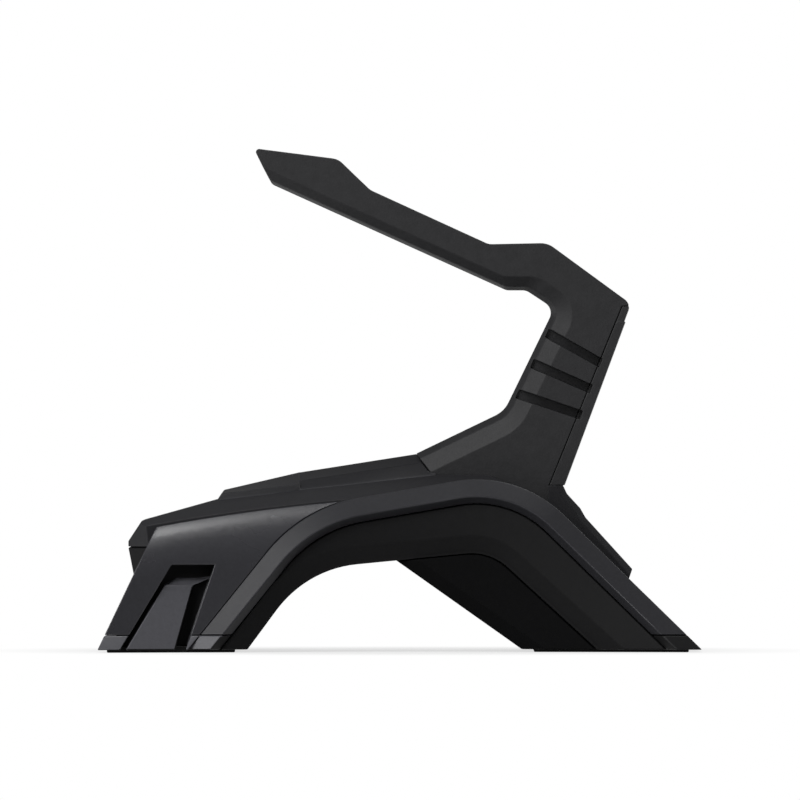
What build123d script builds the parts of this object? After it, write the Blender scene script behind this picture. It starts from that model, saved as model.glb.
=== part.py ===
from build123d import *
import functools
import math
import os

# Mouse bungee in millimetres: front is -X, left is -Y, up is +Z, desk at zero height
# Stance and parting lines
FOOT_Z = 0.7
SPLIT_Z = 4.2
SEAM = 0.25
FINE_SEAM = 0.12
FIT = 0.2

# Flank of the base: a hollow arc in plan that leans inward as it rises
FRONT_X = -75.0
FRONT_HALF_WIDTH = 48.27
WAIST_X = 12.0
WAIST_HALF_WIDTH = 31.0
FLANK_LEAN = 11.0
FLANK_LOW = -10.0
FLANK_TOP = 70.0

# Ridge line of the arch trim, seen from the side
RIDGE_FRONT_X = -46.9
SHOULDER_X = -21.8
SHOULDER_Z = 31.9
SHOULDER_R = 33.6
CROWN_X = 27.9
CROWN_Z = 40.5
CROWN_R = 26.6
RIDGE_REAR_X = 68.68

# Section of the arch trim
FLARE_WIDTH = 4.4
FLARE_PROUD = 2.2
LIP_WIDTH = 1.6
RIDGE_FLAT = 0.2
LIP_SINK = 0.1
SKIN = 2.2

# Lower edge of the arch wall, seen from the side
WALL_FRONT_X = -37.9
WALL_SHOULDER_X = -23.2
WALL_SHOULDER_Z = 20.6
WALL_SHOULDER_R = 28.0
WALL_CROWN_X = 22.4
WALL_CROWN_Z = 25.0
WALL_CROWN_R = 13.0
WALL_REAR_X = 48.9
WALL_INSET = 0.3
WALL_BEVEL_WIDTH = 4.6
WALL_BEVEL_DEPTH = 2.3
CHASSIS_WALL = 2.4
HEEL_X = 56.0

# Front leg
LEG_LEAN = 64.7
PANEL_RETURN = 4.8
PANEL_FLANGE = 7.0
PANEL_EDGE = 2.5
SHOULDER_ROUND = 22.0
SHOULDER_DEPTH = 17.0
FOOT_LEAN = 33.0
LEG_GAP_FLOOR = 27.0
LEG_GAP_TOP = 23.0
LEG_GAP_Z = 15.0

# Recess in the side panel and the rib that stands in it
RECESS_TOP_Z = 21.8
RECESS_TOP_FRONT_X = -56.7
RECESS_TOP_REAR_X = -46.0
RECESS_FOOT_FRONT_X = -69.8
RECESS_FOOT_REAR_X = -53.4
RECESS_FLOOR = -4.9
RIB_TOP_Z = 18.2
RIB_NECK_Z = 16.6
RIB_TOP_FRONT_X = -55.4
RIB_TOP_REAR_X = -47.4
RIB_NECK_FRONT_X = -58.5
RIB_NECK_REAR_X = -51.4
RIB_FOOT_FRONT_X = -68.0
RIB_FOOT_REAR_X = -55.8
RIB_PROUD = 1.0
RIB_LEAN = 20.0
RIB_TOP_LEAN = 58.0

# Roof and nose
NOSE_X = -67.6
NOSE_Z = 27.6
NOSE_TOP_X = -64.2
NOSE_TOP_Z = 32.7
ROOF_FRONT_X = -45.7
ROOF_FRONT_Z = 37.9
ROOF_MID_X = -8.0
ROOF_MID_Z = 42.7
ROOF_TOP_X = 8.0
ROOF_TOP_Z = 44.0
ROOF_REAR_X = 22.0
ROOF_REAR_Z = 43.9
ROOF_END_X = 36.0
ROOF_TILT = 22.0
CREASE_FRONT_X = -57.2
CREASE_FRONT_Z = 32.4
CREASE_REAR_X = -17.5
CREASE_REAR_Z = 37.6
ROOF_WALL = 2.2
ROOF_SKIRT = 9.0
NOSE_WALL = 5.0
NOSE_SLIT_Z = 26.0
NOSE_CORNER_X = 6.0
NOSE_CORNER_Y = 9.0
CHIN_X = -66.3
CHIN_Z = 19.4
CHIN_FOOT_X = -63.8
CHIN_WALL = 3.0

# Raised cover on the roof: half widths and heights of its edges at the front, the step and the rear
COVER_FRONT_X = -45.8
COVER_FRONT_FOOT_Z = 37.4
COVER_BROW_X = -44.0
COVER_BROW_Z = 40.2
COVER_START_X = -47.0
COVER_START_FOOT = (18.7, 37.1)
COVER_START_EDGE = (17.1, 39.1)
COVER_START_CROWN = 39.55
COVER_STEP_X = -25.0
COVER_STEP_FOOT = (13.7, 40.3)
COVER_STEP_FRONT_EDGE = (12.8, 41.75)
COVER_STEP_REAR_EDGE = (9.2, 42.57)
COVER_STEP_CROWN = 44.65
COVER_END_X = 9.0
COVER_END_FOOT = (7.4, 43.8)
COVER_END_EDGE = (4.6, 47.7)
COVER_END_CROWN = 50.0
COVER_SINK = 4.0
COVER_GAP = 0.005
COVER_TONGUE = 3.0

# Bottom cover
BELLY_Z = 24.2
BELLY_WALL = 2.2
RAMP_TOP_X = -3.0
RAMP_FOOT_X = 30.3
RAMP_WALL = 3.2
TUB_INSET = 1.5
TUB_WALL = 5.0
TUB_LIP = 1.5
RAMP_BEVEL = 3.4
FLOOR_WALL = 2.6
FLOOR_REAR_X = 72.4

# Arm outline, seen from the side, as corner points and their radii
NECK_TOE_X = 3.9
NECK_TOE_Z = 49.3
NECK_HEEL_X = 7.9
NECK_HEEL_Z = 44.3
ROOT_FRONT_X = 10.0
ROOT_REAR_X = 37.0
ROOT_Z = 33.5
MAST_FOOT_X = 40.7
MAST_FOOT_Z = 41.4
MAST_TOP_X = 57.6
MAST_TOP_Z = 86.7
ELBOW_TOP_X = 36.8
ELBOW_TOP_Z = 101.9
BEAM_ROOT_X = 22.1
BEAM_ROOT_Z = 101.6
BEAM_END_X = -7.6
BEAM_END_Z = 115.2
HEAD_REAR_X = -15.6
HEAD_REAR_Z = 122.9
TIP_X = -36.6
TIP_Z = 125.6
TIP_LOW_X = -32.2
TIP_LOW_Z = 116.6
JOG_FRONT_X = 26.5
JOG_Z = 90.1
JOG_REAR_X = 31.4
CROOK_X = 38.4
CROOK_Z = 85.5
NECK_BEND_X = 25.9
NECK_BEND_Z = 59.9
NECK_BEND_R = 7.0
CROOK_R = 3.0
JOG_R = 3.0
TIP_LOW_R = 2.0
TIP_R = 0.8
HEAD_REAR_R = 4.0
ELBOW_TOP_R = 5.0
MAST_TOP_R = 2.5

# Arm section
ARM_TIP_HALF = 4.8
ARM_FOOT_HALF = 8.6
ARM_BEVEL_DEPTH = 2.2
ARM_EDGE_DEPTH = 4.2
ARM_EDGE_SHARE = 0.27
BEAM_BEVEL = 3.0
JOG_BEVEL = 3.5
CROOK_BEVEL = 4.6
MAST_BEVEL = 5.5
NECK_BEVEL = 5.7
GROOVE_COUNT = 3
GROOVE_FRONT_Z = 78.45
GROOVE_FRONT_PITCH = 7.6
GROOVE_FRONT_MARGIN = 1.2
GROOVE_REAR_Z = 70.85
GROOVE_REAR_PITCH = 6.5
GROOVE_REAR_MARGIN = 1.9
GROOVE_HEIGHT = 2.1
GROOVE_CORE_HALF = 3.6
SPINE_TOP_X = 55.4
SPINE_TOP_Z = 86.2
SPINE_FOOT_X = 37.2
SPINE_PROUD = 0.3
SPINE_PROUD_Z = 82.2
SPINE_TONGUE = 4.0

# Cable clip in the head of the arm
CLIP_R = 2.1
CLIP_THROAT = 3.0
CLIP_DROP = 3.7
CLIP_REACH = 25.0

# Root of the arm inside the deck
TONGUE_FRONT_X = 13.0
TONGUE_REAR_X = 35.0
TONGUE_HALF = 6.0
FLANGE_Z = 30.0
FLANGE_WALL = 3.2
FLANGE_FRONT_X = 6.0
FLANGE_REAR_X = 42.0
FLANGE_HALF = 15.0
SOCKET_MARGIN = 1.0

# Rear cover behind the arm
REAR_COVER_HALF = 10.0
REAR_COVER_TOP_X = 41.7
REAR_COVER_TOP_Z = 39.3
REAR_COVER_STEP_X = 45.0
REAR_COVER_STEP_Z = 35.7
REAR_COVER_KNEE_X = 46.3
REAR_COVER_KNEE_Z = 33.4
REAR_COVER_END_X = 58.0
REAR_COVER_END_Z = 20.5
REAR_COVER_LIP_X = 50.9
REAR_COVER_BEVEL = 1.5

# Rubber pads
PAD_THICK = 1.6
PAD_FRONT_X = -72.7
PAD_FRONT_LENGTH = 31.7
PAD_MARGIN = 3.0
PAD_REAR_X = 33.3
PAD_REAR_LENGTH = 38.5
PAD_REAR_INNER = 21.0
PAD_REAR_MARGIN = 7.0

# Ballast in the rear block
BALLAST_FRONT_X = 36.5
BALLAST_REAR_X = 57.0
BALLAST_HALF = 19.0
BALLAST_HEIGHT = 9.0
BALLAST_EDGE = 0.6

# Screws
SCREW_R = 1.5
SCREW_HEAD_R = 2.7
SCREW_HEAD = 1.6
SCREW_PLAY = 0.05
SCREW_SINK = 1.7
BOSS_R = 3.6
DECK_SCREW_FRONT_X = -45.0
DECK_SCREW_REAR_X = 62.5
DECK_SCREW_Y = 13.0
DECK_SCREW_LENGTH = 8.0
BALLAST_SCREW_X = 47.0
BALLAST_SCREW_Y = 10.0
BALLAST_SCREW_LENGTH = 6.0
ARM_SCREW_X = 24.0
ARM_SCREW_Y = 10.5
ARM_SCREW_LENGTH = 7.0

# Reach of the cutting tools past the object, and the closeness that counts as touching
REACH = 90.0
SKY = 160.0
TOUCH = 0.02

# Flank offsets and places that follow from the values above
DECK_EDGE = -PANEL_RETURN - FINE_SEAM
CHASSIS_OUTER = -SKIN - FIT
CHASSIS_INNER = CHASSIS_OUTER - CHASSIS_WALL
BELLY_TOP = BELLY_Z + BELLY_WALL
BELLY_FRONT_X = CHIN_FOOT_X + CHIN_WALL
FLOOR_TOP = FOOT_Z + FLOOR_WALL
REAR_SEAT_Z = FOOT_Z + SCREW_SINK
FLANGE_SEAT_Z = FLANGE_Z - FLANGE_WALL
REAR_BAR_X = DECK_SCREW_REAR_X + BOSS_R + FIT
RAMP_SLANT = RAMP_WALL * math.hypot(RAMP_FOOT_X - RAMP_TOP_X, BELLY_Z - FOOT_Z) / (BELLY_Z - FOOT_Z)


def lean_shift(height, lean):
    """Sideways travel of a leaning line over a height."""
    return height * math.tan(math.radians(lean))


def outline(points, radii=0.0):
    """Closed face in the side view from corner points with their corner radii."""
    corners = [(x, 0, z) for x, z in points]
    if radii == 0.0:
        return Face(Wire(Polyline(*corners, close=True).edges()))
    return Face(Wire(FilletPolyline(*corners, radius=radii, close=True).edges()))


def meeting(first, second):
    """Crossing point of two lines that are each given as a point and a direction."""
    (start, along), (other, heading) = first, second
    gap = other - start
    cross = along.X * heading.Y - along.Y * heading.X
    return start + along * ((gap.X * heading.Y - gap.Y * heading.X) / cross)


def shifted(points, moves):
    """Corners of a closed outline after each side moves to its left by its own distance."""
    lines = []
    for start, end, move in zip(points, points[1:] + points[:1], moves):
        along = (Vector(*end) - Vector(*start)).normalized()
        lines.append((Vector(*start) + Vector(-along.Y, along.X) * move, along))
    corners = [meeting(before, after) for before, after in zip(lines[-1:] + lines[:-1], lines)]
    return [(corner.X, corner.Y) for corner in corners]


def through(face):
    """Solid that runs through the whole width with the face as its side view."""
    return extrude(face, amount=REACH, dir=(0, 1, 0), both=True)


def band(x0, x1, z0, z1):
    """Block through the whole width between two lengths and two heights."""
    return through(outline([(x0, z0), (x1, z0), (x1, z1), (x0, z1)]))


def block(x0, x1, y0, y1, z0, z1):
    """Plain block between its lowest and highest corners."""
    centre = Location(((x0 + x1) / 2, (y0 + y1) / 2, (z0 + z1) / 2))
    return centre * Box(x1 - x0, y1 - y0, z1 - z0)


def other_side(shape):
    """Right-hand twin of a left-hand piece."""
    return mirror(shape, Plane.XZ)


FLANK_RUN = WAIST_X - FRONT_X
FLANK_RISE = FRONT_HALF_WIDTH - WAIST_HALF_WIDTH
FLANK_R = (FLANK_RUN ** 2 + FLANK_RISE ** 2) / (2 * FLANK_RISE)


def beyond_flank(offset, lean=FLANK_LEAN):
    """Space outside the left flank after the flank moves outward by the offset."""
    foot_r = FLANK_R - offset + lean_shift(FLANK_LOW - FOOT_Z, lean)
    top_r = FLANK_R - offset + lean_shift(FLANK_TOP - FOOT_Z, lean)
    cone = Solid.make_cone(foot_r, top_r, FLANK_TOP - FLANK_LOW)
    return Part() + cone.moved(Location((WAIST_X, -WAIST_HALF_WIDTH - FLANK_R, FLANK_LOW)))


def within(shape, offset):
    """What lies between both flanks after they move outward by the offset."""
    left = beyond_flank(offset)
    return shape - left - other_side(left)


def left_layer(shape, outer, inner):
    """Layer of a shape between two offsets of the left flank."""
    return (shape & beyond_flank(inner)) - beyond_flank(outer)


@functools.cache
def arch(offset):
    """Space under the ridge line of the arch after that line moves outward by the offset."""
    ridge = [
        (RIDGE_FRONT_X, FOOT_Z),
        (SHOULDER_X, SHOULDER_Z),
        (CROWN_X, CROWN_Z),
        (RIDGE_REAR_X, FOOT_Z),
    ]
    corners = shifted(ridge, (offset, offset, offset, 0.0))
    return outline(corners, (0.0, SHOULDER_R + offset, CROWN_R + offset, 0.0))


def arch_opening(offset=0.0):
    """Open space under the lower edge of the arch wall, moved outward by the offset."""
    edge = [
        (WALL_FRONT_X, FOOT_Z),
        (WALL_SHOULDER_X, WALL_SHOULDER_Z),
        (WALL_CROWN_X, WALL_CROWN_Z),
        (WALL_REAR_X, FOOT_Z),
    ]
    corners = shifted(edge, (offset, offset, offset, FOOT_Z))
    return outline(corners, (0.0, WALL_SHOULDER_R + offset, WALL_CROWN_R + offset, 0.0))


def height_on(face, x):
    """Height of the top of a side view at a place along its length."""
    probe = Edge.make_line((x, 0, FOOT_Z), (x, 0, SKY))
    return max(vertex.Z for vertex in (face & probe).vertices())


def leg_front(inset):
    """Space behind the leaning front edge of the leg, after the edge moves back by the inset."""
    foot_x = FRONT_X + inset / math.sin(math.radians(LEG_LEAN))
    top_x = foot_x + FLANK_TOP / math.tan(math.radians(LEG_LEAN))
    return through(outline([
        (foot_x, FOOT_Z),
        (REACH, FOOT_Z),
        (REACH, FOOT_Z + FLANK_TOP),
        (top_x, FOOT_Z + FLANK_TOP),
    ]))


def behind_nose(inset):
    """Space behind the front of the nose after that front moves back by the inset."""
    return through(outline([
        (NOSE_X + inset, FOOT_Z),
        (REACH, FOOT_Z),
        (REACH, SKY),
        (NOSE_TOP_X + inset, SKY),
        (NOSE_TOP_X + inset, NOSE_TOP_Z),
        (NOSE_X + inset, NOSE_Z),
    ]))


def slope_height(x):
    """Height that the side slopes of the roof would reach over the middle plane."""
    fall = lean_shift(1.0, ROOF_TILT)
    front = CREASE_FRONT_Z + fall * flank_half(CREASE_FRONT_X, CREASE_FRONT_Z, DECK_EDGE)
    rear = CREASE_REAR_Z + fall * flank_half(CREASE_REAR_X, CREASE_REAR_Z, DECK_EDGE)
    return front + (rear - front) * (x - CREASE_FRONT_X) / (CREASE_REAR_X - CREASE_FRONT_X)


def left_slope(lift):
    """Space under the left slope of the roof, after the slope is lifted."""
    side_view = outline([
        (FRONT_X, slope_height(FRONT_X) + lift),
        (ROOF_END_X, slope_height(ROOF_END_X) + lift),
        (ROOF_END_X, -REACH),
        (FRONT_X, -REACH),
    ])
    fall = Vector(0, -1, -lean_shift(1.0, ROOF_TILT)).normalized()
    return extrude(side_view, amount=REACH, dir=fall, both=True) & above(FOOT_Z)


@functools.cache
def roof(lift):
    """Space under the crest and both slopes of the roof of the front half, after it is lifted."""
    nose_rise = (ROOF_FRONT_Z - NOSE_TOP_Z) / (ROOF_FRONT_X - NOSE_TOP_X)
    crest = through(outline([
        (FRONT_X, NOSE_TOP_Z + lift + (FRONT_X - NOSE_TOP_X) * nose_rise),
        (ROOF_FRONT_X, ROOF_FRONT_Z + lift),
        (ROOF_MID_X, ROOF_MID_Z + lift),
        (ROOF_TOP_X, ROOF_TOP_Z + lift),
        (ROOF_REAR_X, ROOF_REAR_Z + lift),
        (ROOF_END_X, height_on(arch(FLARE_WIDTH), ROOF_END_X) + lift),
        (ROOF_END_X, FOOT_Z),
        (FRONT_X, FOOT_Z),
    ]))
    left = left_slope(lift)
    return crest & left & other_side(left)


def flank_half(x, z, offset):
    """Half width of the base at a place along its length and height."""
    radius = FLANK_R - offset + lean_shift(z - FOOT_Z, FLANK_LEAN)
    return WAIST_HALF_WIDTH + FLANK_R - math.sqrt(radius ** 2 - (x - WAIST_X) ** 2)


def border_edges(face, side_view):
    """Edges of a face that run along the border of a side view, above the foot."""
    border = side_view.outer_wire()
    found = []
    for edge in face.edges():
        middle = edge @ 0.5
        if middle.Z > FOOT_Z + TOUCH and border.distance_to(Vertex(middle.X, 0, middle.Z)) < TOUCH:
            found.append(edge)
    return found


def outer_flank(shape):
    """Flank face of a left-hand piece that lies furthest out."""
    return min(shape.faces().filter_by(GeomType.CONE), key=lambda face: face.center().Y)


def above(z):
    """Everything above a height."""
    return band(-REACH, REACH, z, SKY)


def below(z):
    """Everything from the soles of the feet up to a height."""
    return band(-REACH, REACH, FOOT_Z, z)


def whole_trim():
    """Left arch trim down to the foot: a flared band, a ridge and a lip that turns back in."""
    upper = arch(FLARE_WIDTH)
    lower = arch(-LIP_WIDTH)
    trim = left_layer(through(upper) - through(lower), FLARE_PROUD, -SKIN).solid()
    face = outer_flank(trim)
    trim = trim.chamfer(FLARE_WIDTH - RIDGE_FLAT, FLARE_PROUD, border_edges(face, upper), face)
    face = outer_flank(trim)
    return Part() + trim.chamfer(LIP_WIDTH, FLARE_PROUD + LIP_SINK, border_edges(face, lower), face)


def recess():
    """Cutter for the recess in the left leg."""
    corners = [
        (RECESS_FOOT_FRONT_X, 0.0),
        (RECESS_FOOT_REAR_X, 0.0),
        (RECESS_TOP_REAR_X, RECESS_TOP_Z),
        (RECESS_TOP_FRONT_X, RECESS_TOP_Z),
    ]
    return extrude(outline(corners), amount=REACH, dir=(0, -1, 0))


def shoulder_lift():
    """Lift of the roof line for the side panel, so that its large round ends level with the deck."""
    tilt = math.radians(ROOF_TILT)
    lean = math.radians(FLANK_LEAN)
    seam_run = PANEL_RETURN / (math.cos(tilt) - math.sin(tilt) * math.tan(lean))
    short = SHOULDER_ROUND * math.tan((math.pi / 2 - tilt - lean) / 2) - seam_run
    return (SHOULDER_ROUND - math.sqrt(SHOULDER_ROUND ** 2 - short ** 2)) / math.cos(tilt)


def side_panel():
    """Left leg cover: large round shoulder, turned-in edges and the recess for the rib."""
    form = left_layer(left_slope(shoulder_lift()), 0.0, -SHOULDER_DEPTH).solid()
    crest = max(outer_flank(form).edges(), key=lambda edge: (edge @ 0.5).Z)
    form = Part() + form.fillet(SHOULDER_ROUND, [crest])
    panel = form & beyond_flank(-PANEL_RETURN) & leg_front(0.0) & band(-REACH, ROOF_TOP_X, FOOT_Z, SKY)
    panel -= through(arch(FLARE_WIDTH + FINE_SEAM))
    hollow = within(roof(-PANEL_FLANGE) & leg_front(PANEL_EDGE), -SKIN)
    return (panel - hollow - recess()) & above(SPLIT_Z + SEAM)


def nose_corners():
    """Cutter that turns both corners of the nose back in plan."""
    half = flank_half(NOSE_X, NOSE_Z, DECK_EDGE)
    left = Polyline(
        (NOSE_X - NOSE_CORNER_X, NOSE_CORNER_Y - half),
        (NOSE_X, NOSE_CORNER_Y - half),
        (NOSE_X + NOSE_CORNER_X, -half),
        (NOSE_X + NOSE_CORNER_X, -REACH),
        (NOSE_X - NOSE_CORNER_X, -REACH),
        close=True,
    )
    cutter = extrude(Face(Wire(left.edges())), amount=SKY, dir=(0, 0, 1))
    return cutter + other_side(cutter)


def screw_places(xs, y):
    """Places of a set of screws in mirrored pairs."""
    return [(x, side * y) for x in xs for side in (-1, 1)]


DECK_FRONT_SCREWS = screw_places([DECK_SCREW_FRONT_X], DECK_SCREW_Y)
DECK_REAR_SCREWS = screw_places([DECK_SCREW_REAR_X], DECK_SCREW_Y)
BALLAST_SCREWS = screw_places([BALLAST_SCREW_X], BALLAST_SCREW_Y)
ARM_SCREWS = screw_places([ARM_SCREW_X], ARM_SCREW_Y)


def rod(x, y, z0, z1, radius):
    """Upright round bar between two heights."""
    return Part() + Solid.make_cylinder(radius, z1 - z0, Plane((x, y, z0)))


def rods(places, z0, z1, radius):
    """Set of like upright round bars."""
    return Part() + [rod(x, y, z0, z1, radius) for x, y in places]


def screws(places, seat_z, length):
    """Pan-head screws that enter from below, with their heads under the seat."""
    made = []
    for x, y in places:
        head = rod(x, y, seat_z - SCREW_HEAD, seat_z, SCREW_HEAD_R)
        made.append((head + rod(x, y, seat_z, seat_z + length, SCREW_R)).solid())
    return made


def arm_half(grow):
    """Left half of the arm, with its bevelled front edges, grown on all sides."""
    corners = [
        (NECK_TOE_X, NECK_TOE_Z, 0.0, NECK_BEVEL),
        (NECK_BEND_X, NECK_BEND_Z, NECK_BEND_R, MAST_BEVEL),
        (CROOK_X, CROOK_Z, CROOK_R, CROOK_BEVEL),
        (JOG_REAR_X, JOG_Z, CROOK_R, JOG_BEVEL),
        (JOG_FRONT_X, JOG_Z, JOG_R, BEAM_BEVEL),
        (TIP_LOW_X, TIP_LOW_Z, TIP_LOW_R, 0.0),
        (TIP_X, TIP_Z, TIP_R, 0.0),
        (HEAD_REAR_X, HEAD_REAR_Z, HEAD_REAR_R, 0.0),
        (BEAM_END_X, BEAM_END_Z, HEAD_REAR_R, 0.0),
        (BEAM_ROOT_X, BEAM_ROOT_Z, HEAD_REAR_R, 0.0),
        (ELBOW_TOP_X, ELBOW_TOP_Z, ELBOW_TOP_R, 0.0),
        (MAST_TOP_X, MAST_TOP_Z, MAST_TOP_R, 0.0),
        (MAST_FOOT_X, MAST_FOOT_Z, 0.0, 0.0),
        (ROOT_REAR_X, ROOT_Z, 0.0, 0.0),
        (ROOT_FRONT_X, ROOT_Z, 0.0, 0.0),
        (NECK_HEEL_X, NECK_HEEL_Z, 0.0, 0.0),
    ]
    points = [(x, z) for x, z, radius, bevel in corners]
    hollow_bends = (NECK_BEND_X, CROOK_X, JOG_REAR_X)
    taper = (ARM_FOOT_HALF - ARM_TIP_HALF) / (MAST_TOP_X - TIP_X)
    half_at_origin = ARM_TIP_HALF - TIP_X * taper + grow
    flank = Location((0, -half_at_origin, 0), (0, 0, -math.degrees(math.atan(taper))))
    steps = []
    for depth, share in ((0.0, 1.0), (ARM_BEVEL_DEPTH, ARM_EDGE_SHARE), (ARM_EDGE_DEPTH, 0.0)):
        moves = [grow - share * bevel for x, z, radius, bevel in corners]
        radii = [radius + share * bevel * (x in hollow_bends) for x, z, radius, bevel in corners]
        steps.append(outline(shifted(points, moves), radii).moved(flank * Location((0, depth, 0))))
    layers = [loft([outer, inner], ruled=True) for outer, inner in zip(steps, steps[1:])]
    core = extrude(steps[-1], amount=REACH, dir=(0, 1, 0))
    return (layers[0] + layers[1] + core) & block(-REACH, REACH, -REACH, 0, 0, SKY)


@functools.cache
def arm_form(grow=0.0):
    """Both halves of the arm together, grown on all sides."""
    left = arm_half(grow)
    return left + other_side(left)


def mast_rear_x(z):
    """Place of the rear edge of the mast at a height."""
    share = (z - MAST_FOOT_Z) / (MAST_TOP_Z - MAST_FOOT_Z)
    return MAST_FOOT_X + share * (MAST_TOP_X - MAST_FOOT_X)


def mast_front_x(z):
    """Place of the front edge of the mast at a height."""
    share = (z - NECK_BEND_Z) / (CROOK_Z - NECK_BEND_Z)
    return NECK_BEND_X + share * (CROOK_X - NECK_BEND_X)


def spine_space(gap):
    """Strip along the rear edge of the mast, with a gap to its seat."""
    return through(outline([
        (SPINE_TOP_X + gap, SPINE_TOP_Z - gap),
        (REACH, SPINE_TOP_Z - gap),
        (REACH, MAST_FOOT_Z),
        (SPINE_FOOT_X + gap, MAST_FOOT_Z),
    ]))


def groove_cutter():
    """Slanted finger grooves in both sides of the mast."""
    cutter = Part()
    for index in range(GROOVE_COUNT):
        front_z = GROOVE_FRONT_Z - index * GROOVE_FRONT_PITCH
        rear_z = GROOVE_REAR_Z - index * GROOVE_REAR_PITCH
        front = [(mast_front_x(z) + GROOVE_FRONT_MARGIN, z) for z in (front_z + GROOVE_HEIGHT, front_z)]
        rear = [(mast_rear_x(z) - GROOVE_REAR_MARGIN, z) for z in (rear_z, rear_z + GROOVE_HEIGHT)]
        cutter += through(outline(front + rear))
    return cutter - block(-REACH, REACH, -GROOVE_CORE_HALF, GROOVE_CORE_HALF, 0, SKY)


def cable_clip():
    """Keyhole cutter along the top of the head: a round bore with a narrower throat above it."""
    along = (Vector(HEAD_REAR_X, 0, HEAD_REAR_Z) - Vector(TIP_X, 0, TIP_Z)).normalized()
    upward = Vector(-along.Z, 0, along.X)
    middle = Vector((TIP_X + HEAD_REAR_X) / 2, 0, (TIP_Z + HEAD_REAR_Z) / 2) - upward * CLIP_DROP
    frame = Plane(middle, x_dir=upward, z_dir=along)
    bore = frame * Cylinder(CLIP_R, 2 * CLIP_REACH)
    side = (Align.MIN, Align.CENTER, Align.CENTER)
    throat = frame * Box(CLIP_REACH, CLIP_THROAT, 2 * CLIP_REACH, align=side)
    return bore + throat


def arm_root(grow):
    """Tongue of the arm in the deck and the flange under it, grown sideways."""
    half = TONGUE_HALF + grow
    bar = block(TONGUE_FRONT_X - grow, TONGUE_REAR_X + grow, -half, half, FLANGE_Z, ROOT_Z + FLANGE_WALL)
    half = FLANGE_HALF + grow
    low = FLANGE_SEAT_Z - grow
    return bar + block(FLANGE_FRONT_X - grow, FLANGE_REAR_X + grow, -half, half, low, FLANGE_Z)


def arm_and_spine():
    """Arm moulding with its root, and the strip set in its rear edge."""
    grooves = groove_cutter()
    tongue = spine_space(0.0) & block(-REACH, REACH, -SPINE_TONGUE, SPINE_TONGUE, 0, SKY)
    form = arm_form() + (arm_form(SPINE_PROUD) & below(SPINE_PROUD_Z))
    spine = (form & (spine_space(FINE_SEAM) + tongue)) - grooves
    arm = arm_form() - grooves - spine_space(0.0) - cable_clip() + arm_root(0.0)
    return arm - rods(ARM_SCREWS, 0, FLANGE_Z, SCREW_R + SCREW_PLAY), spine


def top_deck():
    """Upper moulding: nose, roof and rear slope, with the socket and bosses under it."""
    deck = (within(roof(0.0) & behind_nose(0.0), DECK_EDGE) - nose_corners()) & above(NOSE_SLIT_Z + SEAM)
    deck -= band(BELLY_FRONT_X, REACH, 0, BELLY_TOP + 2 * FIT)
    slope = through(arch(FLARE_WIDTH)) & band(CREASE_REAR_X, REACH, SPLIT_Z + SEAM, SKY)
    deck += within(slope, CHASSIS_OUTER)
    deck -= within(roof(-ROOF_WALL) & behind_nose(NOSE_WALL), DECK_EDGE - ROOF_WALL)
    deck -= roof(-ROOF_SKIRT) & behind_nose(NOSE_WALL)
    deck -= through(arch(FLARE_WIDTH - ROOF_WALL)) & band(CREASE_REAR_X, REACH, 0, SKY)
    half = FLANGE_HALF + SOCKET_MARGIN
    added = block(FLANGE_FRONT_X - SOCKET_MARGIN, FLANGE_REAR_X + SOCKET_MARGIN, -half, half, FLANGE_Z, SKY)
    added += rods(DECK_FRONT_SCREWS, BELLY_TOP, SKY, BOSS_R)
    added += rods(DECK_REAR_SCREWS, FLOOR_TOP, SKY, BOSS_R)
    deck += added & (roof(0.0) + through(arch(FLARE_WIDTH)))
    hole = SCREW_R + SCREW_PLAY
    deck -= rods(DECK_FRONT_SCREWS, 0, BELLY_Z + DECK_SCREW_LENGTH + SCREW_PLAY, hole)
    deck -= rods(DECK_REAR_SCREWS, 0, REAR_SEAT_Z + DECK_SCREW_LENGTH + SCREW_PLAY, hole)
    deck -= rods(ARM_SCREWS, 0, FLANGE_SEAT_Z + ARM_SCREW_LENGTH + SCREW_PLAY, hole)
    return deck - arm_form(FIT) - arm_root(FIT)


def cover_section(x, foot, edge, crown):
    """Cross-section of the raised cover from the half width and height of its edges."""
    left = [(x, -foot[0], foot[1] - COVER_SINK), (x, -foot[0], foot[1]), (x, -edge[0], edge[1])]
    right = [(x, -y, z) for x, y, z in reversed(left)]
    return Face(Wire(Polyline(*left, (x, 0, crown), *right, close=True).edges()))


def top_cover():
    """Raised plate on the roof in front of the arm, with leaning sides that step in behind the brow."""
    start = cover_section(COVER_START_X, COVER_START_FOOT, COVER_START_EDGE, COVER_START_CROWN)
    brow_end = cover_section(COVER_STEP_X, COVER_STEP_FOOT, COVER_STEP_FRONT_EDGE, COVER_STEP_CROWN)
    step = cover_section(COVER_STEP_X, COVER_STEP_FOOT, COVER_STEP_REAR_EDGE, COVER_STEP_CROWN)
    end = cover_section(COVER_END_X, COVER_END_FOOT, COVER_END_EDGE, COVER_END_CROWN)
    plate = Part() + loft([start, brow_end], ruled=True) + loft([step, end], ruled=True)
    slant = (COVER_BROW_X - COVER_FRONT_X) / (COVER_BROW_Z - COVER_FRONT_FOOT_Z)
    plate -= through(outline([
        (COVER_FRONT_X - slant * COVER_FRONT_FOOT_Z, 0.0),
        (COVER_FRONT_X + slant * (SKY - COVER_FRONT_FOOT_Z), SKY),
        (-REACH, SKY),
        (-REACH, 0.0),
    ]))
    seat = arm_form(SEAM) - block(-REACH, REACH, -COVER_TONGUE, COVER_TONGUE, 0, SKY)
    return plate - roof(COVER_GAP) - seat - arm_form()


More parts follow.
